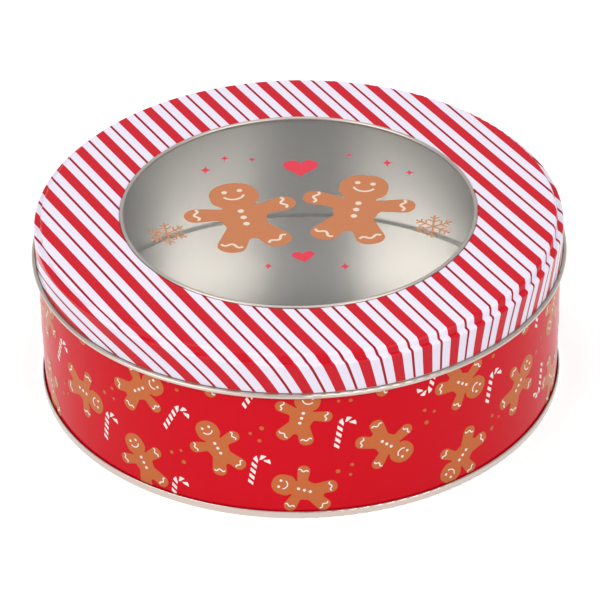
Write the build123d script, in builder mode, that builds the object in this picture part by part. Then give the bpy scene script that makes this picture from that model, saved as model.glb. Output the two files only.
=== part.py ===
from build123d import *
from math import cos, degrees, radians, sin
import os

# A round biscuit tin of drawn and rolled tinplate, with a lift-off lid that has a clear window.
# Millimetres, +Z up. The origin is the middle of the bottom rim, on the surface it stands on.

# The plate that everything but the window is pressed from
plate = 0.25

# Driving sizes of the body
body_radius = 94.9
panel_height = 67.2
body_curl_size = 1.7
curl_turn = 300.0

# Driving sizes of the lid
lid_depth = 15.65
lid_clearance = 0.3
lid_seat_gap = 0.1
skirt_draft = 0.05
lid_curl_size = 1.7
step_drop = 2.5
step_width = 1.9
riser_slope = 0.8
shoulder_radius = 0.9
ledge_root_radius = 0.4
skirt_corner_radius = 0.55

# The window opening with its rolled edge, its pane and the ring that holds the pane
window_curl_size = 1.5
window_curl_line = 63.85
window_curl_dip = 0.3
window_curl_slope = 45.0
window_curl_turn = 290.0
window_bend_radius = 0.4
pane_thickness = 0.5
pane_overlap = 3.4
pane_gap = 0.05
ring_setback = 1.5
ring_side_gap = 0.2
ring_corner_radius = 0.4

# The double seam at the foot of the body, where wall and base are folded into each other
seam_gap = 0.05
seam_height = 2.9
floor_height = 4.5
floor_corner_radius = 1.4
rim_corner_radius = 0.45
hook_corner_radius = 0.25
hook_length = 1.9

# The lock seam that closes the rolled wall, at the back
lock_seam_width = 4.5
lock_seam_overlap = 0.05
back_angle = 90.0

half_plate = plate / 2

os.makedirs("parts", exist_ok=True)

# Middle lines of the seam's five layers of plate, from the inside out
layer = plate + seam_gap
wall_line = body_radius - half_plate
chuck_line = wall_line - layer
cover_hook_line = wall_line + layer
body_hook_line = cover_hook_line + layer
seam_line = body_hook_line + layer
rim_line = half_plate
body_foot_line = rim_line + layer
seam_top_line = seam_height - half_plate
hook_end = seam_top_line - hook_length
body_hook_end = seam_top_line - layer

# The base: a floor, a wall down to the rim it stands on, and the fold round the body's hook
floor_line = floor_height - half_plate
with BuildPart() as base_disc:
    with BuildSketch(Plane.XZ) as base_profile:
        with BuildLine() as base_line:
            FilletPolyline(
                (0, floor_line),
                (chuck_line, floor_line),
                (chuck_line, rim_line),
                (seam_line, rim_line),
                (seam_line, seam_top_line),
                (cover_hook_line, seam_top_line),
                (cover_hook_line, hook_end),
                radius=[
                    floor_corner_radius,
                    rim_corner_radius,
                    rim_corner_radius,
                    hook_corner_radius,
                    hook_corner_radius,
                ],
            )
        trace(line_width=plate)
    revolve(axis=Axis.Z)
base_disc.part.label = "base_disc"
export_step(base_disc.part, "parts/base_disc.step")

# Heights that the lid and the body share
ledge_height = panel_height - step_drop
ledge_underside = ledge_height - plate
body_top = ledge_underside - lid_seat_gap

# The body wall: one strip rolled into a ring, hooked outwards into the seam at its foot
# and rolled inwards at its top, so that no cut edge is left to touch
body_curl_radius = body_curl_size / 2 - half_plate
body_curl_height = body_top - body_curl_size / 2
lock_foot = floor_height + floor_corner_radius
lock_angle = degrees(lock_seam_width / body_radius)
lock_start = back_angle - lock_angle / 2
lock_plane = Plane(
    origin=(0, 0, 0),
    x_dir=Vector(1, 0, 0).rotate(Axis.Z, lock_start),
    z_dir=Vector(0, -1, 0).rotate(Axis.Z, lock_start),
)
with BuildPart() as body_wall:
    with BuildSketch(Plane.XZ) as wall_profile:
        with BuildLine() as wall_path:
            hook = FilletPolyline(
                (body_hook_line, body_hook_end),
                (body_hook_line, body_foot_line),
                (wall_line, body_foot_line),
                (wall_line, body_curl_height),
                radius=hook_corner_radius,
            )
            JernArc(hook @ 1, hook % 1, body_curl_radius, curl_turn)
        trace(line_width=plate)
    revolve(axis=Axis.Z)
    with BuildSketch(lock_plane) as lock_profile:
        with BuildLine():
            lock_outer = wall_line - half_plate + lock_seam_overlap
            lock_inner = wall_line - half_plate - plate
            Polyline(
                (lock_inner, lock_foot),
                (lock_outer, lock_foot),
                (lock_outer, body_curl_height),
                (lock_inner, body_curl_height),
                close=True,
            )
        make_face()
    revolve(axis=Axis.Z, revolution_arc=lock_angle)
body_wall.part.label = "body_wall"
export_step(body_wall.part, "parts/body_wall.step")

# The lid shell: a drawn plate whose edge is rolled up and back round the window, a stepped
# shoulder that sits on the body's top curl, a skirt, and a rolled lower edge
top_line = panel_height - half_plate
skirt_line = body_radius + lid_clearance + half_plate
riser_foot_line = skirt_line - step_width
riser_line = riser_foot_line - riser_slope
ledge_line = ledge_height - half_plate
skirt_foot_line = skirt_line + skirt_draft
lid_curl_radius = lid_curl_size / 2 - half_plate
lid_curl_height = panel_height - lid_depth + lid_curl_size / 2
window_curl_radius = window_curl_size / 2 - half_plate
window_curl_height = panel_height - window_curl_dip
slope_run = cos(radians(window_curl_slope))
slope_rise = sin(radians(window_curl_slope))
slope_foot_line = window_curl_line + window_curl_radius * slope_rise
slope_foot_height = window_curl_height - window_curl_radius * slope_run
slope_top_line = slope_foot_line + (top_line - slope_foot_height) * slope_run / slope_rise
with BuildPart() as lid_shell:
    with BuildSketch(Plane.XZ) as lid_profile:
        with BuildLine() as lid_path:
            skirt = FilletPolyline(
                (slope_foot_line, slope_foot_height),
                (slope_top_line, top_line),
                (riser_line, top_line),
                (riser_foot_line, ledge_line),
                (skirt_line, ledge_line),
                (skirt_foot_line, lid_curl_height),
                radius=[
                    window_bend_radius,
                    shoulder_radius,
                    ledge_root_radius,
                    skirt_corner_radius,
                ],
            )
            JernArc(skirt @ 1, skirt % 1, lid_curl_radius, curl_turn)
            JernArc(skirt @ 0, -(skirt % 0), window_curl_radius, -window_curl_turn)
        trace(line_width=plate)
    revolve(axis=Axis.Z)
lid_shell.part.label = "lid_shell"
export_step(lid_shell.part, "parts/lid_shell.step")

# The clear pane: a flat disc, wider than the opening, held up against the rolled edge
clear_radius = window_curl_line - window_curl_size / 2
pane_radius = clear_radius + pane_overlap
pane_top = window_curl_height - window_curl_size / 2 - pane_gap
pane_bottom = pane_top - pane_thickness
with BuildPart() as window_pane:
    with BuildSketch(Plane.XY.offset(pane_bottom)) as pane_outline:
        Circle(pane_radius)
    extrude(amount=pane_thickness)
window_pane.part.label = "window_pane"
export_step(window_pane.part, "parts/window_pane.step")

# The retaining ring: a flat flange under the pane, with an upstand against the lid's underside
ring_line = pane_bottom - pane_gap - half_plate
ring_inner = clear_radius + ring_setback
upstand_line = pane_radius + ring_side_gap + half_plate
upstand_top = panel_height - plate - pane_gap
with BuildPart() as window_retaining_ring:
    with BuildSketch(Plane.XZ) as ring_profile:
        with BuildLine() as ring_path:
            FilletPolyline(
                (ring_inner, ring_line),
                (upstand_line, ring_line),
                (upstand_line, upstand_top),
                radius=ring_corner_radius,
            )
        trace(line_width=plate)
    revolve(axis=Axis.Z)
window_retaining_ring.part.label = "window_retaining_ring"
export_step(window_retaining_ring.part, "parts/window_retaining_ring.step")
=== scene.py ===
# %% [markdown]
# # A round biscuit tin with a window in its lid
# The tin is made of tinplate, which is thin steel with a bright skin of tin. The plates are printed
# and lacquered flat, and only then rolled, drawn and folded into a wall, a base and a lid. So this
# lesson is about two things: what a printed plate looks like where the print ends and the metal
# shows, and how a flat print lies on a shape that was bent afterwards.
#
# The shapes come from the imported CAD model, which is loaded first and is never changed here.

# %% Load the frame
import math

import bmesh
import bpy
from mathutils import Matrix, Vector


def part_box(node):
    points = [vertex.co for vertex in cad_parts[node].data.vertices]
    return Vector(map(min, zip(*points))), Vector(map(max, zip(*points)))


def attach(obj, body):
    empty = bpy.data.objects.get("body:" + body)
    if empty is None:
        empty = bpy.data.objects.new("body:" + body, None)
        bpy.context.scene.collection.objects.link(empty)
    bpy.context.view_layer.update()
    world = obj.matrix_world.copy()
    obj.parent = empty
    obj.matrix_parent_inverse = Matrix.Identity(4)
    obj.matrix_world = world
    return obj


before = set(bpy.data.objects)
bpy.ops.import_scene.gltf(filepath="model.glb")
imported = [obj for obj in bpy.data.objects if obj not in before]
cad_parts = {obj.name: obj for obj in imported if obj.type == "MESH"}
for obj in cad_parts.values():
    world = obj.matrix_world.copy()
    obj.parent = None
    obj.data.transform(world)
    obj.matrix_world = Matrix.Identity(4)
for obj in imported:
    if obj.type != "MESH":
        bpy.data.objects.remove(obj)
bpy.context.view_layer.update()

scene = bpy.context.scene
scene.view_settings.view_transform = "Standard"
MM = 0.001


def new_object(name, data):
    """An object that carries this data, linked to the scene."""
    made = bpy.data.objects.new(name, data)
    scene.collection.objects.link(made)
    return made


# %% [markdown]
# ## Sizes read from the frame
# A texture or a print has to meet the edges of the metal that it lies on. Those edges could be
# typed in again, but then they would drift apart when the CAD changes. So the places that the
# looks need are measured on the CAD meshes: boxes give heights, and the widest ring of vertices
# gives a radius. Only two sizes are typed in, because no box shows them: the height of the double
# seam and the size of a rolled edge. They hardly differ from one tin to the next.

# %% Measure the tin
SEAM_TOP = 2.9 * MM
CURL_SIZE = 1.7 * MM
# The share of a node's height above which its widest ring is looked for
UPPER_HALF = 0.5
# The share of the lid's radius outside which its top is read, clear of the window's bead
PANEL_SHARE = 0.8


def vertex_places(node):
    """The places of a CAD node's vertices."""
    return [v.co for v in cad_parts[node].data.vertices]


def ring_radius(node, low=0.0):
    """The largest distance from the axis among a node's vertices above a share of its height."""
    bottom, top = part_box(node)
    lowest = bottom.z + low * (top.z - bottom.z)
    return max(p.xy.length for p in vertex_places(node) if p.z >= lowest)


wall_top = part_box("body_wall")[1].z
wall_radius = ring_radius("body_wall", UPPER_HALF)
seam_radius = ring_radius("base_disc")
pane_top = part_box("window_pane")[1].z
lid_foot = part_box("lid_shell")[0].z
lid_radius = ring_radius("lid_shell")
lid_places = vertex_places("lid_shell")
lid_top = max(p.z for p in lid_places if p.xy.length > lid_radius * PANEL_SHARE)
bead_radius = max(p.xy.length for p in lid_places if p.z > lid_top)
print(f"wall radius {wall_radius / MM:.2f} mm, lid radius {lid_radius / MM:.2f} mm")
print(f"lid from {lid_foot / MM:.2f} to {lid_top / MM:.2f} mm, pane top {pane_top / MM:.2f} mm")
print(f"the bead round the window is {bead_radius / MM:.2f} mm in radius")

# %% [markdown]
# ## The camera
# The photograph was taken from above the front of the tin with a long lens, which is why its
# ellipses hardly narrow towards the back. The direction and the lens were found by fitting the
# rims of the lid, the base and the window, so they are written as an angle, a distance and a
# focal length. The photograph is turned by about one degree, so the camera is rolled as much.

# %% Place the camera
VIEW_ELEVATION = math.radians(33.59)
VIEW_DISTANCE = 1190 * MM
AIM_HEIGHT = 33.9 * MM
# The tangent of the small angle that the lens dips below the line to the tin's middle
AIM_DOWN = 0.00457
VIEW_ROLL = math.radians(-0.96)
SENSOR_WIDTH = 36.0
LENS = 195.0
NEAREST_SEEN = 0.01
FARTHEST_SEEN = 50.0


def place_camera():
    """A camera that looks at the tin's middle from the front and above."""
    data = bpy.data.cameras.new("view")
    data.sensor_width = SENSOR_WIDTH
    data.lens = LENS
    data.clip_start = NEAREST_SEEN
    data.clip_end = FARTHEST_SEEN
    camera = new_object("view", data)
    outwards = Vector((0, -math.cos(VIEW_ELEVATION), math.sin(VIEW_ELEVATION)))
    across = Vector((1, 0, 0))
    back = (outwards + AIM_DOWN * outwards.cross(across)).normalized()
    lift = back.cross(across).normalized()
    turned = Matrix.Rotation(VIEW_ROLL, 4, back)
    axes = Matrix((across, lift, back)).transposed().to_4x4()
    spot = outwards * VIEW_DISTANCE
    spot.z += AIM_HEIGHT
    camera.matrix_world = Matrix.Translation(spot) @ turned @ axes
    scene.camera = camera
    print("camera at", [round(x, 3) for x in spot])


place_camera()

# %% [markdown]
# ## Node trees as arithmetic
# A node tree is a formula drawn as boxes. Long formulas are easier to read as text, so one small
# class wraps a socket and lets Python's own operators add the Math nodes. Every other node comes
# from one method, which takes the node's type, its settings and the values of its sockets. The
# same class serves materials and Geometry Nodes, because both use the same Math node.

# %% A socket that can be used in expressions
class Wire:
    """One output of a node, for use in a Python expression."""

    def __init__(self, tree, socket):
        self.tree = tree
        self.socket = socket

    @classmethod
    def node(cls, tree, kind, settings=None, values=None, output=0):
        """Adds a node, sets it up, feeds its sockets and returns one of its outputs."""
        made = tree.nodes.new(kind)
        for name, setting in (settings or {}).items():
            setattr(made, name, setting)
        for name, value in (values or {}).items():
            cls.feed(tree, made.inputs[name], value)
        return cls(tree, made.outputs[output])

    @staticmethod
    def feed(tree, socket, value):
        """Links a wire to a socket, or writes a plain value on it."""
        if isinstance(value, Wire):
            tree.links.new(value.socket, socket)
        else:
            socket.default_value = value

    def maths(self, operation, *values):
        """One Math node on plain numbers or wires."""
        numbered = dict(enumerate(values))
        return Wire.node(self.tree, "ShaderNodeMath", {"operation": operation}, numbered)

    def __add__(self, other):
        return self.maths("ADD", self, other)

    def __radd__(self, other):
        return self.maths("ADD", other, self)

    def __sub__(self, other):
        return self.maths("SUBTRACT", self, other)

    def __rsub__(self, other):
        return self.maths("SUBTRACT", other, self)

    def __mul__(self, other):
        return self.maths("MULTIPLY", self, other)

    def __rmul__(self, other):
        return self.maths("MULTIPLY", other, self)

    def __truediv__(self, other):
        return self.maths("DIVIDE", self, other)

    def __abs__(self):
        return self.maths("ABSOLUTE", self)

    def __gt__(self, other):
        return self.maths("GREATER_THAN", self, other)

    def __lt__(self, other):
        return self.maths("LESS_THAN", self, other)

    def of(self, operation):
        """One Math node that takes only this value, such as its root or its sine."""
        return self.maths(operation, self)

    def clamped(self):
        """The value, held between 0 and 1."""
        return self.maths("MINIMUM", self.maths("MAXIMUM", self, 0.0), 1.0)


def split(tree, vector):
    """The three parts of a vector, as wires."""
    made = tree.nodes.new("ShaderNodeSeparateXYZ")
    Wire.feed(tree, made.inputs[0], vector)
    return [Wire(tree, out) for out in made.outputs]


def joined(tree, x, y, z):
    """A vector from three parts."""
    return Wire.node(tree, "ShaderNodeCombineXYZ", values={0: x, 1: y, 2: z})


# Sockets that are picked by number, because a Mix node has several of one name
MIX_FACTOR, MIX_A, MIX_B, MIX_OUT = 0, 6, 7, 2

# Outputs of the Texture Coordinate node
NORMAL_OUT, OBJECT_OUT = 1, 3


def mixed(tree, factor, first, second):
    """A colour between two colours."""
    values = {MIX_FACTOR: factor, MIX_A: first, MIX_B: second}
    return Wire.node(tree, "ShaderNodeMix", {"data_type": "RGBA"}, values, MIX_OUT)


def object_place(tree):
    """The object coordinates as one vector, in metres."""
    return Wire.node(tree, "ShaderNodeTexCoord", output=OBJECT_OUT)


def place_wires(tree):
    """The object coordinates x, y, z and the distance from the tin's axis, in metres."""
    x, y, z = split(tree, object_place(tree))
    away = (x * x + y * y).of("SQRT")
    return x, y, z, away


def noise(tree, vector, scale, detail=2.0):
    """A soft random value round 0.5."""
    values = {"Vector": vector, "Scale": scale, "Detail": detail}
    return Wire.node(tree, "ShaderNodeTexNoise", values=values)


print("node arithmetic ready")

# %% [markdown]
# ## Colours
# Colours are written as they look on a screen and turned into the linear values that the renderer
# adds up. There are few: the reds, a lilac white, biscuit, icing, and the grey of tinplate. Inks
# and plates have a second tone beside the first, for the mottling that no real print is without.

# %% Name the colours
def ink(red, green, blue):
    """A screen colour from 0 to 255, as a linear colour with alpha, by the standard curve."""
    levels = []
    for level in (red, green, blue):
        share = level / 255
        levels.append(share / 12.92 if share < 0.04045 else ((share + 0.055) / 1.055) ** 2.4)
    return (*levels, 1.0)


STRIPE_RED = ink(206, 18, 38)
THIN_STRIPE_RED = ink(168, 10, 28)
LILAC_WHITE = ink(241, 236, 252)
LILAC_SHADE = ink(233, 228, 247)
WALL_RED = ink(216, 0, 28)
WALL_RED_DEEP = ink(210, 0, 26)
BISCUIT = ink(208, 116, 66)
WALL_ICING = ink(250, 244, 242)
PANE_BISCUIT = ink(203, 128, 82)
PANE_ICING = ink(236, 220, 202)
PANE_RED = ink(232, 58, 80)
PANE_SNOW = ink(200, 138, 96)
TINPLATE = ink(252, 251, 249)
TINPLATE_DULL = ink(247, 247, 246)
BASE_TINPLATE = ink(216, 214, 210)
BASE_TINPLATE_DULL = ink(206, 205, 202)
# A darker tone painted on the outer rolled edges as shade, in place of darker surroundings mirrored
# there
EDGE_PAINTED_SHADE = ink(206, 196, 188)
# A dark painted shade for the fold between base and wall, with the red of the mirrored wall in it
CREASE_PAINTED_SHADE = ink(96, 58, 58)
FILM_TONE = (0.4, 0.41, 0.41, 1.0)
BLACK = (0.0, 0.0, 0.0, 1.0)
WHITE = (1.0, 1.0, 1.0, 1.0)

# %% [markdown]
# ## Bare tinplate
# Tinplate is rolled, so it has a faint straight grain and is neither a mirror nor matt. The grain
# could be a picture, but a noise that is squeezed in one direction gives the same streaks at any
# size. It varies the roughness and a very shallow bump, and the metal itself hardly changes colour.
# A second noise, softer and wider, clouds the metal a little.
#
# The metal isn't wholly metallic: a small matt share stands for the fine scratches that scatter
# light. Rolled edges on the outside are given a darker tone as painted shade, or they would mirror
# the white stage and vanish against it. Where the base's fold meets the wall, a dark painted shade
# is laid, standing in for the shadow there and for the red wall that the seam would mirror.

# %% The tinplate finish, as wires that any material can use
GRAIN_ACROSS = 800.0
GRAIN_ALONG = 45.0
GRAIN_TONE = 0.1
GRAIN_DULLNESS = 0.02
CLOUD_SCALE = 28.0
CLOUD_DULLNESS = 0.05
WALL_DULLNESS = 0.28
BASE_DULLNESS = 0.19
METAL_SHARE = 0.85
GRAIN_RELIEF = 0.0005 * MM
EDGE_SOFTNESS = 0.05 * MM
# How far below the seam's top and how far inside its outer edge the painted shade reaches
PAINTED_SHADE_DEPTH = 0.35 * MM
PAINTED_SHADE_INSET = 0.45 * MM


def ended(distance):
    """1 where a signed distance is positive, with a soft edge."""
    return (distance / EDGE_SOFTNESS + 0.5).clamped()


def tinplate_wires(
    tree, place, along="z", tones=(TINPLATE_DULL, TINPLATE), dullness=WALL_DULLNESS
):
    """Colour, roughness and height of rolled tinplate, with its grain along one axis."""
    x, y, z, away = place
    stretch = {axis: GRAIN_ALONG if axis == along else GRAIN_ACROSS for axis in "xyz"}
    grain_place = joined(tree, x * stretch["x"], y * stretch["y"], z * stretch["z"])
    grain = noise(tree, grain_place, 1.0, detail=0.0)
    cloud = noise(tree, object_place(tree), CLOUD_SCALE)
    mottling = (grain * GRAIN_TONE + cloud * (1 - GRAIN_TONE)).clamped()
    colour = mixed(tree, mottling, *tones)
    # The outer rolled edges and the bead round the window take a painted shade, so they don't
    # mirror the white stage
    bead = ended(z - pane_top) * ended(bead_radius - away)
    outside = ended(away - (wall_radius - EDGE_SOFTNESS))
    colour = mixed(tree, (outside + bead).clamped(), colour, EDGE_PAINTED_SHADE)
    roughness = dullness + grain * GRAIN_DULLNESS + cloud * CLOUD_DULLNESS
    return colour, roughness, grain


def finish_material(name, build):
    """A material whose Principled sockets are set by a function of its tree and shader."""
    material = bpy.data.materials.new(name)
    material.use_nodes = True
    tree = material.node_tree
    shader = next(n for n in tree.nodes if n.type == "BSDF_PRINCIPLED")
    build(tree, shader)
    return material


def bumped(tree, height, distance):
    """A normal bent by a height."""
    return Wire.node(tree, "ShaderNodeBump", values={"Height": height, "Distance": distance})


def bare_tinplate(tones, dullness):
    """A builder of a bare tinplate material between two tones of metal, with its grain along y."""

    def build(tree, shader):
        place = place_wires(tree)
        x, y, z, away = place
        colour, roughness, grain = tinplate_wires(tree, place, "y", tones, dullness)
        # Painted shade and painted reflection: a dark tone where the base's fold meets the wall
        high = ended(z - (SEAM_TOP - PAINTED_SHADE_DEPTH))
        painted_crease_shade = high * ended((seam_radius - PAINTED_SHADE_INSET) - away) * ended(away - wall_radius)
        colour = mixed(tree, painted_crease_shade, colour, CREASE_PAINTED_SHADE)
        Wire.feed(tree, shader.inputs["Base Color"], colour)
        Wire.feed(tree, shader.inputs["Roughness"], roughness)
        shader.inputs["Metallic"].default_value = METAL_SHARE
        Wire.feed(tree, shader.inputs["Normal"], bumped(tree, grain, GRAIN_RELIEF))

    return build


base_tones = (BASE_TINPLATE_DULL, BASE_TINPLATE)
base_metal = finish_material("base_tinplate", bare_tinplate(base_tones, BASE_DULLNESS))
ring_tones = (TINPLATE_DULL, TINPLATE)
ring_metal = finish_material("ring_tinplate", bare_tinplate(ring_tones, WALL_DULLNESS))
print("tinplate:", base_metal.name, ring_metal.name)

# %% [markdown]
# ## Printed tinplate
# The outside of the wall and of the lid is ink under gloss lacquer, the inside and the rolled
# edges are bare. One CAD node carries both, so one material has to know which side it is on. The
# outer side of a bent plate faces away from the axis or upwards, so the sum of those two parts of
# the normal is positive there and negative inside. Where the print stops short of a rolled edge,
# a height or a radius ends it.

# %% A material that is print outside and metal elsewhere
LACQUER_ROUGHNESS = 0.22
LACQUER_WAVE_SCALE = 220.0
LACQUER_WAVE_DULLNESS = 0.04
LACQUER_RELIEF = 0.012 * MM
COAT_ROUGHNESS = 0.03
LID_LACQUER = {"Specular IOR Level": 0.0, "Coat Weight": 0.9, "Coat IOR": 1.3}
WALL_LACQUER = {"Specular IOR Level": 0.0, "Coat Weight": 0.65, "Coat IOR": 1.25}


def outer_side(tree, x, y, away):
    """1 on the plate's outer side, 0 on its inner side."""
    nx, ny, nz = split(tree, Wire.node(tree, "ShaderNodeTexCoord", output=NORMAL_OUT))
    outwards = (nx * x + ny * y) / away
    return (outwards + nz) > 0.0


def dress_printed(tree, shader, print_colour, printed, metal, shine):
    """Sets a shader to lacquered print where printed is 1, and to bare tinplate where it is 0."""
    colour, roughness, grain = metal
    bare = 1.0 - printed
    lacquer_wave = noise(tree, object_place(tree), LACQUER_WAVE_SCALE, detail=1.0)
    Wire.feed(tree, shader.inputs["Base Color"], mixed(tree, printed, colour, print_colour))
    Wire.feed(tree, shader.inputs["Metallic"], bare * METAL_SHARE)
    lacquer = LACQUER_ROUGHNESS + lacquer_wave * LACQUER_WAVE_DULLNESS
    Wire.feed(tree, shader.inputs["Roughness"], printed * lacquer + bare * roughness)
    Wire.feed(tree, shader.inputs["Coat Weight"], printed * shine["Coat Weight"])
    shader.inputs["Coat Roughness"].default_value = COAT_ROUGHNESS
    for socket in ("Coat IOR", "Specular IOR Level"):
        shader.inputs[socket].default_value = shine[socket]
    height = printed * lacquer_wave * LACQUER_RELIEF + bare * grain * GRAIN_RELIEF
    Wire.feed(tree, shader.inputs["Normal"], bumped(tree, height, 1.0))


# %% [markdown]
# ## The striped lid
# The stripes run straight across the flat top, bend over the step and change direction on the
# skirt. That isn't drawn: it is what pressing does to a flat printed blank. A point of the skirt
# was once further out on the blank, by as much as it now lies lower. So its place on the blank is
# found first, by adding the drop to the radius, and the straight stripes are read there.

# %% Stripes printed on the flat blank
STRIPE_PERIOD = 11.71 * MM
WIDE_STRIPE = 4.0 * MM
THIN_STRIPE = 1.0 * MM
STRIPE_PLACE = 8.34 * MM
STRIPE_NORMAL = math.radians(28.7)
SPECKLE_SCALE = 2400.0
BEAD_MARGIN = 0.08 * MM
CURL_MARGIN = 0.15 * MM


def striped_lid(tree, shader):
    """The lid: red and white stripes on the outside, tinplate inside and on both rolled edges."""
    x, y, z, away = place_wires(tree)
    blank_radius = away + (lid_top - z)
    across = x * math.cos(STRIPE_NORMAL) + y * math.sin(STRIPE_NORMAL)
    on_blank = across * blank_radius / away
    turns = (on_blank - STRIPE_PLACE) / STRIPE_PERIOD
    from_wide = abs(turns - turns.of("ROUND")) * STRIPE_PERIOD
    wide = ended(WIDE_STRIPE / 2 - from_wide)
    thin = ended(from_wide - (STRIPE_PERIOD - THIN_STRIPE) / 2)
    inked = (wide + thin).clamped()
    speckle = noise(tree, object_place(tree), SPECKLE_SCALE, detail=1.0)
    white = mixed(tree, speckle, LILAC_WHITE, LILAC_SHADE)
    red = mixed(tree, thin, STRIPE_RED, THIN_STRIPE_RED)
    colour = mixed(tree, inked, white, red)
    above_curl = ended(z - (lid_foot + CURL_SIZE + CURL_MARGIN))
    outside_bead = ended(away - (bead_radius + BEAD_MARGIN))
    printed = outer_side(tree, x, y, away) * above_curl * outside_bead
    metal = tinplate_wires(tree, (x, y, z, away))
    dress_printed(tree, shader, colour, printed, metal, LID_LACQUER)


lid_finish = finish_material("striped_lid_print", striped_lid)
print("stripes every", round(STRIPE_PERIOD / MM, 2), "mm")

# %% [markdown]
# ## The red wall
# The wall is red ink from the seam at its foot to just under its rolled top edge. At the back the
# strip's two ends are hooked together in a lock seam, where the print stops on both sides and a
# narrow bright strip of tinplate is left.

# %% The wall's print
LOCK_STRIP = 1.6 * MM
WALL_CLOUD_SCALE = 14.0


def red_wall(tree, shader):
    """The wall: red outside, tinplate inside, at the top curl and along the lock seam."""
    x, y, z, away = place_wires(tree)
    cloud = noise(tree, object_place(tree), WALL_CLOUD_SCALE, detail=1.0)
    colour = mixed(tree, cloud, WALL_RED, WALL_RED_DEEP)
    below_curl = ended((wall_top - CURL_SIZE) - z)
    at_back = (y > 0.0) * ended(LOCK_STRIP / 2 - abs(x))
    printed = outer_side(tree, x, y, away) * below_curl * (1.0 - at_back)
    metal = tinplate_wires(tree, (x, y, z, away))
    dress_printed(tree, shader, colour, printed, metal, WALL_LACQUER)


wall_finish = finish_material("red_wall_print", red_wall)

# %% [markdown]
# ## The clear pane
# The pane is a clear plastic sheet. Real glass would keep the lamps' light out of the tin, because
# a path tracer can't aim through it. So the pane is simply see-through but for a small share, which
# is a smooth pale film that gives the sheet its shine.

# %% The pane's plastic
FILM_SHARE = 0.04
PLASTIC_IOR = 1.46
PANE_ROUGHNESS = 0.02
SCUFF_ROUGHNESS = 0.03
SCUFF_SCALE = 160.0
SCUFF_STRETCH = 6.0


def clear_sheet(tree, shader):
    """Clear plastic: mostly see-through, with the shine of a smooth sheet."""
    x, y, z = split(tree, object_place(tree))
    scuffs = noise(tree, joined(tree, x, y * SCUFF_STRETCH, z), SCUFF_SCALE, detail=3.0)
    shader.inputs["Base Color"].default_value = FILM_TONE
    shader.inputs["IOR"].default_value = PLASTIC_IOR
    shader.inputs["Alpha"].default_value = FILM_SHARE
    Wire.feed(tree, shader.inputs["Roughness"], PANE_ROUGHNESS + scuffs * SCUFF_ROUGHNESS)


pane_finish = finish_material("clear_sheet", clear_sheet)

# %% Give each CAD node its material
def assign(node, material):
    """Gives a CAD node one material."""
    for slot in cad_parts[node].material_slots:
        slot.material = material
    print(node, "takes", material.name)


assign("lid_shell", lid_finish)
assign("body_wall", wall_finish)
assign("base_disc", base_metal)
assign("window_retaining_ring", ring_metal)
assign("window_pane", pane_finish)

# %% [markdown]
# ## Drawing the motifs as outlines
# The wall and the pane carry small printed pictures: biscuit figures with icing, canes, hearts,
# snowflakes and stars. Each is drawn once as a flat outline in shares of its own height, from
# corners with a rounding radius, as a biscuit cutter is bent from strip. A thin film of ink with
# real edges stays sharp at any distance, which a baked picture would not.

# %% Outlines with rounded corners
CORNER_STEPS = 7
NEARLY_STRAIGHT = math.pi * 0.999


def rounded(corners):
    """A closed outline from (x, y, radius) corners, with an arc where there is a radius."""
    outline = []
    for here, corner in enumerate(corners):
        spot = Vector(corner[:2])
        before = Vector(corners[here - 1][:2]) - spot
        after = Vector(corners[(here + 1) % len(corners)][:2]) - spot
        radius = corner[2]
        bend = before.angle(after)
        if radius == 0 or bend > NEARLY_STRAIGHT:
            outline.append(spot)
            continue
        reach = radius / math.tan(bend / 2)
        start = spot + before.normalized() * reach
        halfway = (before.normalized() + after.normalized()).normalized()
        centre = spot + halfway * (radius / math.sin(bend / 2))
        arm = start - centre
        end_arm = spot + after.normalized() * reach - centre
        sweep = arm.angle_signed(end_arm)
        for step in range(CORNER_STEPS + 1):
            turn = Matrix.Rotation(-sweep * step / CORNER_STEPS, 2)
            outline.append(centre + turn @ arm)
    return outline


def mirrored(half):
    """Corners of the right half, and the same corners on the left, in turn."""
    left = [(-x, y, radius) for x, y, radius in reversed(half) if x > 0]
    return half + left


def disc(x, y, radius, steps=14):
    """A round dot."""
    angles = [2 * math.pi * step / steps for step in range(steps)]
    return [Vector((x + radius * math.cos(a), y + radius * math.sin(a))) for a in angles]


def ribbon(points, width):
    """A closed outline round an open line, as a line of icing is piped."""
    line = [Vector(p) for p in points]
    left, right = [], []
    for here, spot in enumerate(line):
        ahead = line[min(here + 1, len(line) - 1)]
        behind = line[max(here - 1, 0)]
        along = (ahead - behind).normalized()
        side = Vector((-along.y, along.x)) * width / 2
        left.append(spot + side)
        right.append(spot - side)
    return right + left[::-1]


def wave(start, end, swings, height, steps=6):
    """Points of a wavy line between two places."""
    start, end = Vector(start), Vector(end)
    along = end - start
    side = Vector((-along.y, along.x)).normalized() * height
    count = swings * steps
    shares = [step / count for step in range(count + 1)]
    return [start + along * s + side * math.sin(math.pi * swings * s) for s in shares]


# %% [markdown]
# ## The biscuit figure
# It is the plain shape that biscuit cutters have had for generations: a round head, two stubby
# arms, two legs, all corners round. Only the right half is listed, in shares of the figure's
# height, and mirrored. The icing is a separate film that lies on top: dots for eyes and buttons,
# a mouth, and a wavy line across each hand and foot.

# %% Outlines of the figure and its icing
def figure_outline():
    """The biscuit: one closed outline, one unit high."""
    right_shares = [
        (0.0, 0.500, 0),
        (0.195, 0.500, 0.178),
        (0.195, 0.215, 0.120),
        (0.080, 0.120, 0.014),
        (0.450, 0.230, 0.095),
        (0.450, 0.010, 0.095),
        (0.185, -0.015, 0.050),
        (0.160, -0.135, 0.050),
        (0.335, -0.425, 0.100),
        (0.120, -0.535, 0.100),
        (0.0, -0.265, 0.045),
    ]
    return rounded(mirrored(right_shares))


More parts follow.
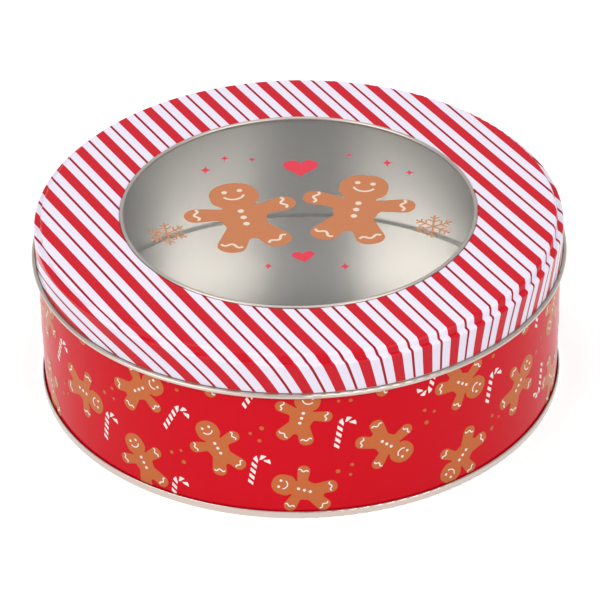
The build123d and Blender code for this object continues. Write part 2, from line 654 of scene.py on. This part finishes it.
def icing_outlines():
    """Buttons, mouth, eyes and the four wavy cuffs."""
    button_heights, button = (0.075, -0.020, -0.115), 0.026
    smile, smile_height, smile_width = 0.090, 0.345, 0.020
    smile_degrees = range(205, 336, 13)
    eye_place, eye_height, eye = 0.062, 0.375, 0.023
    right_cuffs = (((0.345, 0.185), (0.355, 0.030)), ((0.105, -0.430), (0.258, -0.350)))
    swings, swing_height, cuff_width = 3, 0.018, 0.022

    parts = [disc(0.0, y, button) for y in button_heights]
    turns = [math.radians(a) for a in smile_degrees]
    mouth = [(smile * math.cos(a), smile_height + smile * math.sin(a)) for a in turns]
    parts.append(ribbon(mouth, smile_width))
    for side in (1, -1):
        parts.append(disc(side * eye_place, eye_height, eye))
        for start, end in right_cuffs:
            start, end = (side * start[0], start[1]), (side * end[0], end[1])
            parts.append(ribbon(wave(start, end, swings, swing_height), cuff_width))
    return parts


# %% [markdown]
# ## Canes, hearts, stars and snowflakes
# The cane is only its white bands: the red between them is the red of the wall. Each band is a
# short piece of a bent path with slanting ends. The heart and the star are old curves that have a
# formula, and the snowflake is one arm that is turned six times.

# %% Outlines of the small motifs
def cane_outlines():
    """The white bands along a walking-cane shape, one unit high."""
    hook, stem, half_width, slant = 0.165, 0.76, 0.072, 0.045
    bands, band_start, band_end = 7, 0.14, 0.70
    length = stem + math.pi * hook

    def spot(along, side):
        if along < stem:
            return Vector((-hook - side, along - 0.5))
        turn = min((along - stem) / hook, math.pi)
        reach = hook + side
        return Vector((-reach * math.cos(turn), stem - 0.5 + reach * math.sin(turn)))

    parts = []
    for band in range(bands):
        first = length * (band + band_start) / bands
        last = length * (band + band_end) / bands
        corners = []
        for side, lean in ((half_width, slant), (-half_width, -slant)):
            ends = (first, last) if side > 0 else (last, first)
            for share in (0.0, 0.5, 1.0):
                along = ends[0] + (ends[1] - ends[0]) * share + lean
                corners.append(spot(max(along, 0.0), side))
        parts.append(corners)
    return parts


def heart_outline(steps=40):
    """The usual heart curve, one unit wide."""
    curve_width = 32
    points = []
    for step in range(steps):
        t = 2 * math.pi * step / steps
        across = 16 * math.sin(t) ** 3
        up = 13 * math.cos(t) - 5 * math.cos(2 * t) - 2 * math.cos(3 * t) - math.cos(4 * t)
        points.append(Vector((-across, up)) / curve_width)
    return points


def star_outline(steps=32, waist=4.0):
    """A four-pointed star with hollow sides, one unit high."""
    half_width, half_height = 0.36, 0.5
    points = []
    for step in range(steps):
        t = 2 * math.pi * step / steps
        across = math.copysign(abs(math.cos(t)) ** waist, math.cos(t))
        up = math.copysign(abs(math.sin(t)) ** waist, math.sin(t))
        points.append(Vector((half_width * across, half_height * up)))
    return points


def snowflake_outline():
    """Six arms with two pairs of side branches each, one unit across."""
    width, notch, tip, taper = 0.024, 0.042, 0.48, 0.9
    branches = ((0.20, 0.15), (0.335, 0.105))
    lean = math.radians(60)
    rise = Vector((0, 2 * width))
    half_arm = [Vector((width, notch))]
    for foot, reach in branches:
        out = Vector((math.sin(lean), math.cos(lean))) * reach
        root = Vector((width, foot))
        half_arm += [root, root + out, root + out + rise * taper, root + rise]
    half_arm += [Vector((width, tip)), Vector((0, tip + width))]
    arm = half_arm + [Vector((-p.x, p.y)) for p in reversed(half_arm[1:-1])]
    outline = []
    for turn in range(6):
        spin = Matrix.Rotation(math.radians(60 * turn), 2)
        outline += [spin @ p for p in arm]
    return outline


print("figure outline has", len(figure_outline()), "points")

# %% [markdown]
# ## From outlines to flat sheets
# A flat sheet that is bent round a wall needs cuts where it bends, or its long triangles would
# sink into the metal. So each sheet is cut by a fine square grid before it is placed. The sheets on
# the flat pane are cut by a much wider grid, because they stay flat.

# %% Fill and cut the sheets
SHEET_CUT = 2.2
CUT_SLACK = 0.002


def flat_sheet(name, outlines, height, cut=SHEET_CUT):
    """An object with the outlines as flat faces, so many millimetres high, cut by a grid."""
    mesh = bpy.data.meshes.new(name)
    work = bmesh.new()
    for outline in outlines:
        work.faces.new([work.verts.new((p[0] * height, p[1] * height, 0)) for p in outline])
    work.normal_update()
    bmesh.ops.reverse_faces(work, faces=[f for f in work.faces if f.normal.z < 0])
    bmesh.ops.triangulate(work, faces=work.faces[:])
    reach = max(max(abs(v.co.x), abs(v.co.y)) for v in work.verts)
    for axis in (Vector((1, 0, 0)), Vector((0, 1, 0))):
        for step in range(-int(reach / cut), int(reach / cut) + 1):
            everything = work.verts[:] + work.edges[:] + work.faces[:]
            bmesh.ops.bisect_plane(
                work, geom=everything, plane_co=axis * step * cut, plane_no=axis, dist=CUT_SLACK
            )
    bmesh.ops.remove_doubles(work, verts=work.verts[:], dist=CUT_SLACK)
    bmesh.ops.scale(work, vec=(MM, MM, MM), verts=work.verts[:])
    work.to_mesh(mesh)
    work.free()
    sheet = new_object(name, mesh)
    print(name, "has", len(mesh.polygons), "faces")
    return sheet


WALL_FIGURE_HEIGHT = 22.5
CANE_HEIGHT = 13.6
CRUMB_RADIUS = 0.95
# Place and size of the three crumbs of a group, in crumb radii
CRUMBS = ((-2.6, 1.4, 0.9), (2.9, -0.2, 0.75), (-0.4, -3.1, 0.65))
CRUMB_STEPS = 10
figure_sheet = flat_sheet("figure_sheet", [figure_outline()], WALL_FIGURE_HEIGHT)
icing_sheet = flat_sheet("icing_sheet", icing_outlines(), WALL_FIGURE_HEIGHT)
cane_sheet = flat_sheet("cane_sheet", cane_outlines(), CANE_HEIGHT)
crumb_outlines = [disc(*crumb, CRUMB_STEPS) for crumb in CRUMBS]
crumb_sheet = flat_sheet("crumb_sheet", crumb_outlines, CRUMB_RADIUS)

# %% [markdown]
# ## Printing round the wall with Geometry Nodes
# The wall's pattern repeats, so it is a job for Geometry Nodes. The tree lays out a grid of points
# on the unrolled wall and lifts every other column by half a row. It can leave some points out and
# stand some copies on their heads, and it turns each copy by a random angle with a fixed seed.
# Then it rolls the finished sheet into a ring: the distance along the strip becomes an angle, and
# the height stays. One tree serves every ink, with its own motif and shift.

# %% The printing tree
RANDOM_LOW, RANDOM_HIGH, RANDOM_OUT = 2, 3, 1
OBJECT_SHAPE_OUT = 4
TREE_INPUTS = (
    ("Motif", "NodeSocketObject", None),
    ("Ink", "NodeSocketMaterial", None),
    ("Radius", "NodeSocketFloat", 0.1),
    ("Columns", "NodeSocketInt", 20),
    ("Rows", "NodeSocketInt", 3),
    ("Row Height", "NodeSocketFloat", 0.03),
    ("First Height", "NodeSocketFloat", 0.01),
    ("Shift Along", "NodeSocketFloat", 0.0),
    ("Kept Share", "NodeSocketFloat", 1.0),
    ("Base Turn", "NodeSocketFloat", 0.0),
    ("Turn Range", "NodeSocketFloat", 3.14),
    ("Upside Down", "NodeSocketFloat", 0.0),
    ("Seed", "NodeSocketInt", 1),
)


def random_value(tree, low, high, index, seed):
    """One draw between two values for each point."""
    settings = {"data_type": "FLOAT"}
    values = {RANDOM_LOW: low, RANDOM_HIGH: high, "ID": index, "Seed": seed}
    return Wire.node(tree, "FunctionNodeRandomValue", settings, values, RANDOM_OUT)


def printing_tree():
    """A Geometry Nodes tree that rolls a half-drop pattern of one motif round a wall."""
    tree = bpy.data.node_groups.new("roll_print", "GeometryNodeTree")
    tree.interface.new_socket("Geometry", in_out="INPUT", socket_type="NodeSocketGeometry")
    tree.interface.new_socket("Geometry", in_out="OUTPUT", socket_type="NodeSocketGeometry")
    for name, kind, default in TREE_INPUTS:
        socket = tree.interface.new_socket(name, in_out="INPUT", socket_type=kind)
        if default is not None:
            socket.default_value = default
    inputs = tree.nodes.new("NodeGroupInput")
    given = {out.name: Wire(tree, out) for out in inputs.outputs if out.name}

    radius, columns, rows = given["Radius"], given["Columns"], given["Rows"]
    pitch = radius * (2 * math.pi) / columns
    grid = Wire.node(
        tree,
        "GeometryNodeMeshGrid",
        values={
            "Size X": pitch * (columns - 1),
            "Size Y": given["Row Height"] * (rows - 1),
            "Vertices X": columns,
            "Vertices Y": rows,
        },
    )
    points = Wire.node(tree, "GeometryNodeMeshToPoints", values={"Mesh": grid})
    index = Wire.node(tree, "GeometryNodeInputIndex")
    column = (index / rows).of("FLOOR")
    row = index - column * rows
    odd = column - 2.0 * (column / 2.0).of("FLOOR")
    along = (column + given["Shift Along"]) * pitch
    height = given["First Height"] + (row + odd / 2.0) * given["Row Height"]
    spread = Wire.node(
        tree,
        "GeometryNodeSetPosition",
        values={"Geometry": points, "Position": joined(tree, along, height, 0.0)},
    )
    chance = random_value(tree, 0.0, 1.0, index, given["Seed"] + 1.0)
    chosen = Wire.node(
        tree,
        "GeometryNodeDeleteGeometry",
        {"domain": "POINT"},
        {"Geometry": spread, "Selection": chance > given["Kept Share"]},
    )
    most_turn = given["Turn Range"]
    turn = random_value(tree, most_turn * -1.0, most_turn, index, given["Seed"])
    flipped = given["Upside Down"] * math.pi * (chance < given["Kept Share"] / 2.0)
    object_given = {"Object": given["Motif"]}
    motif = Wire.node(
        tree, "GeometryNodeObjectInfo", values=object_given, output=OBJECT_SHAPE_OUT
    )
    copies = Wire.node(
        tree,
        "GeometryNodeInstanceOnPoints",
        values={
            "Points": chosen,
            "Instance": motif,
            "Rotation": joined(tree, 0.0, 0.0, turn + flipped + given["Base Turn"]),
        },
    )
    real = Wire.node(tree, "GeometryNodeRealizeInstances", values={"Geometry": copies})
    x, y, z = split(tree, Wire.node(tree, "GeometryNodeInputPosition"))
    angle = x / radius - math.pi / 2
    rolled = joined(tree, radius * angle.of("COSINE"), radius * angle.of("SINE"), y)
    wrapped = Wire.node(
        tree, "GeometryNodeSetPosition", values={"Geometry": real, "Position": rolled}
    )
    inked = Wire.node(
        tree, "GeometryNodeSetMaterial", values={"Geometry": wrapped, "Material": given["Ink"]}
    )
    output = tree.nodes.new("NodeGroupOutput")
    tree.links.new(inked.socket, output.inputs[0])
    return tree


roll_print = printing_tree()
print("printing tree has", len(roll_print.nodes), "nodes")

# %% [markdown]
# ## Inks
# Printed ink under lacquer has the same shine as the plate beside it, with a little mottling where
# the ink took unevenly. On the pane the ink is opaque and a touch duller.

# %% Ink materials
INK_MOTTLE_SCALE = 1500.0
INK_MOTTLE_DULLNESS = 0.05
INK_RELIEF = 0.002 * MM


def printed_ink(colour, darker, roughness, shine):
    """A builder of an ink: a mottled colour under lacquer."""

    def build(tree, shader):
        mottle = noise(tree, object_place(tree), INK_MOTTLE_SCALE)
        Wire.feed(tree, shader.inputs["Base Color"], mixed(tree, mottle, colour, darker))
        Wire.feed(tree, shader.inputs["Roughness"], roughness + mottle * INK_MOTTLE_DULLNESS)
        shader.inputs["Coat Roughness"].default_value = COAT_ROUGHNESS
        for socket, level in shine.items():
            shader.inputs[socket].default_value = level
        Wire.feed(tree, shader.inputs["Normal"], bumped(tree, mottle, INK_RELIEF))

    return build


PANE_INK_ROUGHNESS = 0.42
PANE_INK_SHINE = {"Specular IOR Level": 0.4, "Coat Weight": 0.0}
INKS = {
    "wall_biscuit_ink": (BISCUIT, ink(197, 106, 58), LACQUER_ROUGHNESS, WALL_LACQUER),
    "wall_icing_ink": (WALL_ICING, ink(244, 236, 234), LACQUER_ROUGHNESS, WALL_LACQUER),
    "pane_biscuit_ink": (PANE_BISCUIT, ink(196, 120, 75), PANE_INK_ROUGHNESS, PANE_INK_SHINE),
    "pane_icing_ink": (PANE_ICING, ink(230, 213, 194), PANE_INK_ROUGHNESS, PANE_INK_SHINE),
    "pane_red_ink": (PANE_RED, ink(224, 50, 72), PANE_INK_ROUGHNESS, PANE_INK_SHINE),
    "pane_snow_ink": (PANE_SNOW, ink(192, 130, 88), PANE_INK_ROUGHNESS, PANE_INK_SHINE),
}
inks = {name: finish_material(name, printed_ink(*ink_facts)) for name, ink_facts in INKS.items()}
print("inks:", sorted(inks))

# %% [markdown]
# ## From a live tree to a film of ink
# The tree's result is made a plain mesh and cut where the print ends: at the seam, under the top
# curl and on both sides of the lock seam at the back. Then it gets a thickness of two hundredths
# of a millimetre, so that it is a closed body like everything else on the tin.

# %% Print one motif round the wall
FILM = 0.02 * MM
FILM_LIFT = 0.02 * MM
WELD = 0.002 * MM
FOOT_MARGIN = 0.1 * MM
TOP_MARGIN = 0.4 * MM
PRINT_LOW = SEAM_TOP + FOOT_MARGIN
PRINT_HIGH = wall_top - CURL_SIZE - TOP_MARGIN


def set_inputs(modifier, **chosen):
    """Sets a modifier's inputs by their socket identifiers, before it is first evaluated."""
    sockets = {
        item.name: item.identifier
        for item in modifier.node_group.interface.items_tree
        if item.item_type == "SOCKET" and item.in_out == "INPUT"
    }
    for name, value in chosen.items():
        modifier[sockets[name.replace("_", " ")]] = value


def thickened(mesh, outwards):
    """Turns open sheets into closed films: a second skin, moved outwards, and sides between."""
    work = bmesh.new()
    work.from_mesh(mesh)
    bmesh.ops.remove_doubles(work, verts=work.verts[:], dist=WELD)
    bmesh.ops.dissolve_degenerate(work, edges=work.edges[:], dist=WELD)
    raised = bmesh.ops.extrude_face_region(work, geom=work.faces[:])
    for part in raised["geom"]:
        if isinstance(part, bmesh.types.BMVert):
            part.co += outwards(part.co) * FILM
    bmesh.ops.recalc_face_normals(work, faces=work.faces[:])
    work.to_mesh(mesh)
    work.free()


def cut_to_print(mesh, low, high):
    """Cuts off what lies below one height, above another, or on the lock seam's bare strip."""
    work = bmesh.new()
    work.from_mesh(mesh)
    for height, way in ((low, -1), (high, 1)):
        everything = work.verts[:] + work.edges[:] + work.faces[:]
        level = {"plane_co": (0, 0, height), "plane_no": (0, 0, way)}
        bmesh.ops.bisect_plane(work, geom=everything, clear_outer=True, **level)
    for side in (-1, 1):
        back = [v for v in work.verts if v.co.y > 0]
        back += [e for e in work.edges if e.verts[0].co.y > 0]
        back += [f for f in work.faces if f.calc_center_median().y > 0]
        bmesh.ops.bisect_plane(
            work, geom=back, plane_co=(side * LOCK_STRIP / 2, 0, 0), plane_no=(side, 0, 0)
        )
    middles = [(f, f.calc_center_median()) for f in work.faces]
    bare = [f for f, middle in middles if middle.y > 0 and abs(middle.x) < LOCK_STRIP / 2]
    bmesh.ops.delete(work, geom=bare, context="FACES")
    work.to_mesh(mesh)
    work.free()


def print_on_wall(name, motif, ink_name, layer, **layout):
    """One ink's film round the wall: an object that rides on the tin's body."""
    carrier = new_object(name + "_tree", bpy.data.meshes.new(name + "_start"))
    modifier = carrier.modifiers.new("print", "NODES")
    modifier.node_group = roll_print
    radius = wall_radius + FILM_LIFT + layer * (FILM + FILM_LIFT)
    set_inputs(modifier, Motif=motif, Ink=inks[ink_name], Radius=radius, **layout)
    bpy.context.view_layer.update()
    ready = carrier.evaluated_get(bpy.context.evaluated_depsgraph_get())
    mesh = bpy.data.meshes.new_from_object(ready)
    mesh.name = name
    carrier.modifiers.remove(modifier)
    bpy.data.objects.remove(carrier)
    cut_to_print(mesh, PRINT_LOW, PRINT_HIGH)
    thickened(mesh, lambda place: Vector((place.x, place.y, 0)).normalized())
    film = new_object(name, mesh)
    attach(film, "tin")
    print(name, "has", len(mesh.polygons), "faces")


FIGURE_COLUMNS = 20
ROW_HEIGHT = 31.0 * MM
FIRST_HEIGHT = 12.0 * MM
figure_layout = {
    "Columns": FIGURE_COLUMNS,
    "Rows": 2,
    "Row_Height": ROW_HEIGHT,
    "First_Height": FIRST_HEIGHT,
    "Turn_Range": math.radians(150),
    "Seed": 7,
}
print_on_wall("wall_print_figures", figure_sheet, "wall_biscuit_ink", 0, **figure_layout)
print_on_wall("wall_print_icing", icing_sheet, "wall_icing_ink", 1, **figure_layout)
cane_layout = {
    "Columns": FIGURE_COLUMNS,
    "Rows": 2,
    "Row_Height": ROW_HEIGHT,
    "First_Height": FIRST_HEIGHT - ROW_HEIGHT / 4,
    "Shift_Along": 0.5,
    "Kept_Share": 0.65,
    "Base_Turn": math.radians(-19),
    "Turn_Range": math.radians(12),
    "Upside_Down": 1.0,
    "Seed": 3,
}
print_on_wall("wall_print_canes", cane_sheet, "wall_icing_ink", 0, **cane_layout)
crumb_layout = {
    "Columns": FIGURE_COLUMNS,
    "Rows": 2,
    "Row_Height": ROW_HEIGHT,
    "First_Height": FIRST_HEIGHT + ROW_HEIGHT / 4,
    "Shift_Along": 0.5,
    "Turn_Range": math.radians(180),
    "Seed": 11,
}
print_on_wall("wall_print_crumbs", crumb_sheet, "wall_biscuit_ink", 0, **crumb_layout)
for sheet in (figure_sheet, icing_sheet, cane_sheet, crumb_sheet):
    bpy.data.objects.remove(sheet)

# %% [markdown]
# ## The picture on the pane
# The pane's picture isn't a repeat, so its motifs are simply placed: two figures that lean apart
# with a heart above and below them, a snowflake at each side and a scatter of small stars. Each
# ink is one object, because each ink is one printing.

# %% Place outlines on the pane
PANE_CUT = 40.0


def placed(outlines, x, y, size, turn=0.0):
    """Outlines at a place on the pane, in millimetres, so large and so turned."""
    spin = Matrix.Rotation(math.radians(turn), 2)
    shift = Vector((x, y))
    return [[spin @ (Vector(p[:2]) * size) + shift for p in outline] for outline in outlines]


def print_on_pane(name, outlines, ink_name, layer):
    """One ink's film on the pane's upper face: an object that rides on the lid."""
    film = flat_sheet(name, outlines, 1.0, PANE_CUT)
    mesh = film.data
    mesh.materials.append(inks[ink_name])
    level = pane_top + FILM_LIFT / 2 + layer * (FILM + FILM_LIFT / 2)
    thickened(mesh, lambda place: Vector((0, 0, 1)))
    mesh.transform(Matrix.Translation((0, 0, level)))
    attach(film, "lid")


# Places and sizes on the pane in millimetres, turns in degrees
PANE_FIGURES = ((-20.0, -3.0, 46.0, 14.0), (21.0, 1.0, 46.0, -12.0))
HEARTS = ((1.0, 30.0, 13.0, 0.0), (1.5, -30.0, 8.0, 8.0))
STARS = (
    (-34.0, 29.0, 7.0),
    (-27.0, 37.0, 5.4),
    (33.0, 32.0, 7.0),
    (41.0, 25.0, 5.4),
    (-17.0, 36.0, 4.6),
    (19.0, 38.0, 4.6),
    (-11.0, -36.0, 5.4),
    (16.0, -37.0, 6.2),
)
SNOWFLAKES = ((-47.0, -14.0, 15.0, 12.0), (48.0, -12.0, 15.0, -8.0))


def all_placed(outlines, places):
    """The same outlines at every place."""
    return [one for place in places for one in placed(outlines, *place)]


figures = all_placed([figure_outline()], PANE_FIGURES)
icing = all_placed(icing_outlines(), PANE_FIGURES)
reds = all_placed([heart_outline()], HEARTS) + all_placed([star_outline()], STARS)
flakes = all_placed([snowflake_outline()], SNOWFLAKES)
print_on_pane("pane_print_figures", figures, "pane_biscuit_ink", 0)
print_on_pane("pane_print_icing", icing, "pane_icing_ink", 1)
print_on_pane("pane_print_reds", reds, "pane_red_ink", 0)
print_on_pane("pane_print_snowflakes", flakes, "pane_snow_ink", 0)

# %% [markdown]
# ## Floor, light and background
# The photograph is a catalogue picture: even light from both sides, a white floor and almost no
# shadow. Two large soft lamps stand left and right of the camera, which leaves the middle of the
# tin's metal floor darker between two bright bands, and a smaller one above lightens the lid. The
# floor glows just enough to show white to the camera, in reflections and through the pane, and
# still takes a faint shadow.

# %% Build the stage
FLOOR_PALE = (0.68, 0.68, 0.68, 1.0)
FLOOR_PALER = (0.70, 0.70, 0.70, 1.0)
FLOOR_GLOW = 0.52
FLOOR_ROUGHNESS = 0.9
FLOOR_RADIUS = 6.0
FLOOR_CORNERS = 64
FLOOR_DROP = 0.02 * MM
PAPER_SCALE = 90.0


def make_floor():
    """A round pale floor."""
    mesh = bpy.data.meshes.new("floor")
    work = bmesh.new()
    bmesh.ops.create_circle(work, cap_ends=True, radius=FLOOR_RADIUS, segments=FLOOR_CORNERS)
    bmesh.ops.translate(work, verts=work.verts[:], vec=(0, 0, -FLOOR_DROP))
    work.to_mesh(mesh)
    work.free()
    floor = new_object("floor", mesh)

    def pale(tree, shader):
        paper = noise(tree, object_place(tree), PAPER_SCALE)
        colour = mixed(tree, paper, FLOOR_PALE, FLOOR_PALER)
        Wire.feed(tree, shader.inputs["Base Color"], colour)
        shader.inputs["Roughness"].default_value = FLOOR_ROUGHNESS
        ray = tree.nodes.new("ShaderNodeLightPath")
        seen = Wire(tree, ray.outputs["Is Camera Ray"]) + Wire(tree, ray.outputs["Is Glossy Ray"])
        seen = (seen + Wire(tree, ray.outputs["Is Transmission Ray"])).clamped()
        Wire.feed(tree, shader.inputs["Emission Color"], mixed(tree, seen, BLACK, WHITE))
        shader.inputs["Emission Strength"].default_value = FLOOR_GLOW

    mesh.materials.append(finish_material("pale_floor", pale))


make_floor()

# %% The lamps and the world
# Each lamp's place and size in metres, and its power in watts
LAMPS = (
    ("left_softbox", (-1.19, -0.83, 0.95), (1.35, 0.9), 11.0),
    ("right_softbox", (0.98, -1.06, 0.95), (1.25, 0.9), 9.2),
    ("top_softbox", (0.0, 0.2, 1.4), (1.2, 0.6), 3.4),
)
LAMP_COLOUR = (1.0, 0.95, 0.885)
WORLD_COLOUR = (0.95, 0.97, 1.0, 1.0)
WORLD_LEVEL = 0.60


def hang_lamp(name, spot, size, power):
    """A soft rectangular lamp that points at the tin."""
    data = bpy.data.lights.new(name, "AREA")
    data.shape = "RECTANGLE"
    data.size, data.size_y = size
    data.energy = power
    data.color = LAMP_COLOUR
    lamp = new_object(name, data)
    aim = Vector((0, 0, lid_top / 2)) - Vector(spot)
    lamp.rotation_euler = aim.to_track_quat("-Z", "Y").to_euler()
    lamp.location = spot


for lamp_facts in LAMPS:
    hang_lamp(*lamp_facts)

world = bpy.data.worlds.new("studio")
scene.world = world
world.use_nodes = True
backdrop = next(n for n in world.node_tree.nodes if n.type == "BACKGROUND")
backdrop.inputs["Color"].default_value = WORLD_COLOUR
backdrop.inputs["Strength"].default_value = WORLD_LEVEL
print("lamps:", [lamp_facts[0] for lamp_facts in LAMPS])
